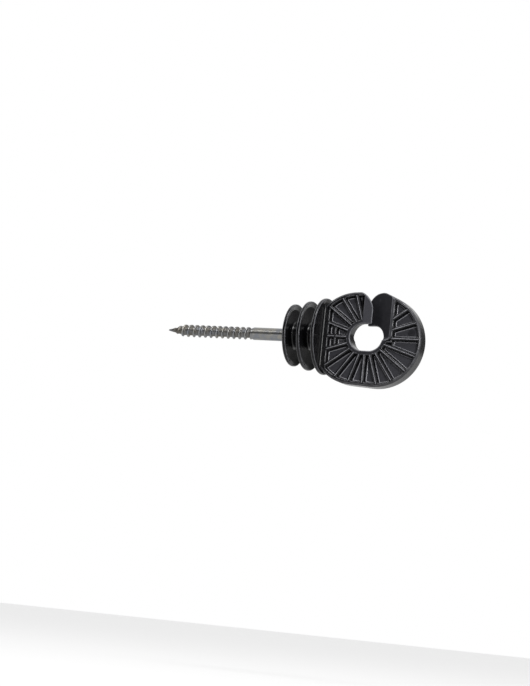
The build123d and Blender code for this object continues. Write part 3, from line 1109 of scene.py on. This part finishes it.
zinc = zinc_steel()
screw.data.materials.append(zinc)
print(zinc.name, "has", len(zinc.node_tree.nodes), "nodes")

# %% [markdown]
# ## Joining the pieces to the measured model
# Both moulding pieces stand for the measured moulding, and the screw for the
# measured support. The part has no joint, so they all ride on its one body.

# %% Riding and replacing
for piece in (fins, head):
    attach(piece, "root")
    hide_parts("insulator_body")
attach(screw, "root")
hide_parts("screw_support")
print("pieces", [piece.name for piece in (fins, head, screw)])

# %% [markdown]
# ## Floor
# The part floats over a plain pale floor, which lies below the low camera. A small
# black part needs little light, and in that light a white floor would look grey,
# so the floor also glows a little, but only for the eye and for mirrors.

# %% Floor
FLOOR_Z = -0.16
FLOOR_REACH = 6.0
FLOOR_GLOW = 0.72
FLOOR_COLOUR = linear("#7c7c7c")


def ray_kinds(tree):
    """Two shares: 1 for rays from the camera, and 1 for rays mirrored or let through."""
    path = add(tree, "ShaderNodeLightPath").outputs
    mirrored = add(tree, "ShaderNodeMath",
                   (path["Is Glossy Ray"], path["Is Transmission Ray"]), operation="MAXIMUM")
    return path["Is Camera Ray"], mirrored


def stage_floor():
    """A floor far larger than the part, which glows a little where it is seen or mirrored.

    The glow lights nothing, and the part's shadow still falls on the floor.
    """
    mesh = bpy.data.meshes.new("floor")
    square = ((-1, -1), (1, -1), (1, 1), (-1, 1))
    corners = [(FLOOR_REACH * x, FLOOR_REACH * y, FLOOR_Z) for x, y in square]
    mesh.from_pydata(corners, [], [(0, 1, 2, 3)])
    floor = bpy.data.objects.new("floor", mesh)
    bpy.context.scene.collection.objects.link(floor)
    finish, tree = new_finish("pale_floor_paint")
    skin = add(tree, "ShaderNodeBsdfPrincipled", {"Base Color": FLOOR_COLOUR, "Roughness": 0.9})
    seen = add(tree, "ShaderNodeMath", ray_kinds(tree), operation="MAXIMUM")
    strength = add(tree, "ShaderNodeMapRange", (seen, 0, 1, 0, FLOOR_GLOW))
    glow = add(tree, "ShaderNodeEmission", {"Strength": strength})
    both = add(tree, "ShaderNodeAddShader", (skin, glow))
    add(tree, "ShaderNodeOutputMaterial", {"Surface": both})
    mesh.materials.append(finish)


stage_floor()
print("floor", 2 * FLOOR_REACH, "m wide at z", FLOOR_Z)

# %% [markdown]
# ## Lamps
# Three square lamps, each more than twice as wide as the part is long. Gloss shows
# a lamp as a light line along each rounded edge. A small lamp's line breaks up into
# dashes there, so the key lamp, which faces the edges, is the widest.

# %% Lamps
LAMP_AIM = (0.05, 0, 0)
# Name, place in metres, side of the square in metres, watts.
LAMPS = (
    ("lamp_above", (0.3, -0.35, 0.85), 0.35, 6),
    ("lamp_key", (0.65, -0.8, 0.17), 0.38, 7),
    ("lamp_left", (-0.55, -0.55, 0.6), 0.3, 2),
)


def soft_lamp(name, place, size, watts):
    """A square area lamp that looks at the part: its own Z axis points back from there."""
    data = bpy.data.lights.new(name, "AREA")
    data.size, data.energy = size, watts
    lamp = bpy.data.objects.new(name, data)
    back = np.array(place) - LAMP_AIM
    back = back / np.linalg.norm(back)
    side = np.cross([0, 0, 1.0], back)
    side = side / np.linalg.norm(side)
    turned = np.eye(4)
    turned[:3, :3] = np.stack([side, np.cross(back, side), back], 1)
    turned[:3, 3] = place
    lamp.matrix_world = Matrix(turned.tolist())
    bpy.context.scene.collection.objects.link(lamp)


for lamp_facts in LAMPS:
    soft_lamp(*lamp_facts)
print(len(LAMPS), "lamps,", sum(watts for *_, watts in LAMPS), "watts in all")

# %% [markdown]
# ## Surround
# Black plastic shows its form by what it mirrors. A white room alone would make
# every face look grey, so three dark cards stand round the part, as they do in a
# product studio: they keep the head's face, the fins' backs and the rim black.

# %% Surround
# Dark cards: a direction, the cosines where each fades in and is full, and its strength.
DARK_CARDS = (
    ((-0.39, -0.91, 0.14), 0.35, 0.90, 0.06),
    ((-0.98, -0.16, 0.10), 0.60, 0.95, 0.12),
    ((0.50, 0.82, 0.30), 0.86, 0.95, 0.12),
)
LIGHT_OF_SURROUND = 0.22


def surround():
    """White where it is seen, white or a dark card where it is mirrored, and dim as a light."""
    world = bpy.data.worlds.new("surround")
    world.use_nodes = True
    tree = world.node_tree
    tree.nodes.clear()
    from_camera, mirrored = ray_kinds(tree)
    way = add(tree, "ShaderNodeTexCoord").outputs["Generated"]
    cards = 1.0
    for aim, start, full, strength in DARK_CARDS:
        towards = add(tree, "ShaderNodeVectorMath", (way, aim), operation="DOT_PRODUCT")
        card = add(tree, "ShaderNodeMapRange",
                   (towards.outputs["Value"], start, full, 1.0, strength))
        cards = add(tree, "ShaderNodeMath", (cards, card), operation="MINIMUM")
    unseen = add(tree, "ShaderNodeMix", {0: mirrored, 2: LIGHT_OF_SURROUND, 3: cards})
    strength = add(tree, "ShaderNodeMix", {0: from_camera, 2: unseen, 3: 1.0})
    white = add(tree, "ShaderNodeBackground", {"Color": (1, 1, 1, 1), "Strength": strength})
    add(tree, "ShaderNodeOutputWorld", {"Surface": white})
    bpy.context.scene.world = world


surround()
print("surround with", len(DARK_CARDS), "dark cards")

# %% [markdown]
# ## View
# The Standard view shows each colour as it was mixed, where a film-like view would lift the
# blacks.

# %% View settings
bpy.context.scene.view_settings.view_transform = "Standard"
